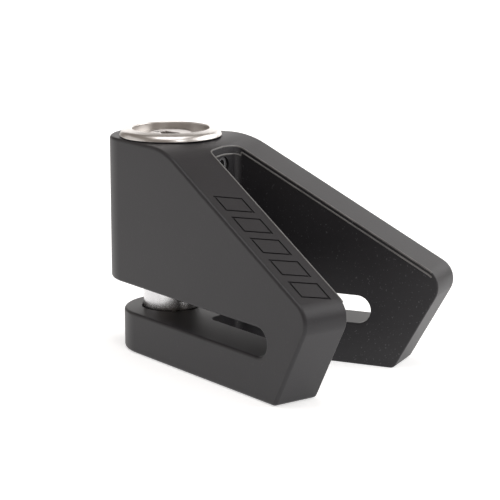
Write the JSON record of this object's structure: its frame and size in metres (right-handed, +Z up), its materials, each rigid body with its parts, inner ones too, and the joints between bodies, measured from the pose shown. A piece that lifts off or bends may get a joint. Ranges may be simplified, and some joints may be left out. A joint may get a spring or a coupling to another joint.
{
  "type": "disc brake lock",
  "caption": "Wedge shaped motorcycle brake disc lock: a black forked body with a disc slot, closed by a locking pin under a keyed push-down head.",
  "frame": {"origin": "where the locking pin's axis meets the flat underside of the lower jaw", "axes": "+Z up along the locking pin, +X along the middle plane of the fork towards the arm tips, +Y to the far arm"},
  "size_m": [0.0818, 0.0586, 0.054],
  "materials": {
    "coated_body": "satin powder coat, near black",
    "polished_steel": "polished stainless steel",
    "pin_steel": "ground steel",
    "steel": "turned steel",
    "dark_steel": "hardened steel",
    "spring_steel": "drawn wire",
    "brass": "machined brass",
    "seal_rubber": "matt rubber"
  },
  "bodies": {
    "casing": {"casting": "coated_body", "head_seal": "seal_rubber", "spring_washer": "dark_steel", "return_spring": "spring_steel", "retaining_screw": "dark_steel"},
    "plunger": {"lock_barrel": "steel", "head_ring": "polished_steel", "locking_pin": "pin_steel", "pin_dowel": "dark_steel"},
    "plug": {"key_plug": "brass", "plug_face": "steel", "guard_disc": "dark_steel", "bolt_cam": "dark_steel", "cam_screw": "dark_steel", "detainer_disc_1": "brass", "detainer_disc_2": "brass", "detainer_disc_3": "brass", "detainer_disc_4": "brass", "detainer_disc_5": "brass", "detainer_disc_6": "brass", "disc_spacer_1": "steel", "disc_spacer_2": "steel", "disc_spacer_3": "steel", "disc_spacer_4": "steel", "disc_spacer_5": "steel", "disc_spacer_6": "steel"},
    "sidebar": {"sidebar": "steel"}
  },
  "joints": [
    {"name": "head_push", "type": "slide", "parent": "casing", "child": "plunger", "axis": [0, 0, 1], "range_m": [0, 0.0145], "deforming": ["return_spring"]},
    {"name": "key_turn", "type": "hinge", "parent": "plunger", "child": "plug", "pos_m": [0, 0, 0.04], "axis": [0, 0, 1], "range_deg": [0, 90]},
    {"name": "sidebar_drop", "type": "slide", "parent": "plug", "child": "sidebar", "axis": [1, 0, 0], "range_m": [0, 0.0007]}
  ],
  "couplings": [
    {"joint": "sidebar_drop", "follows": "key_turn", "m_per_rad": 0.00044563}
  ]
}
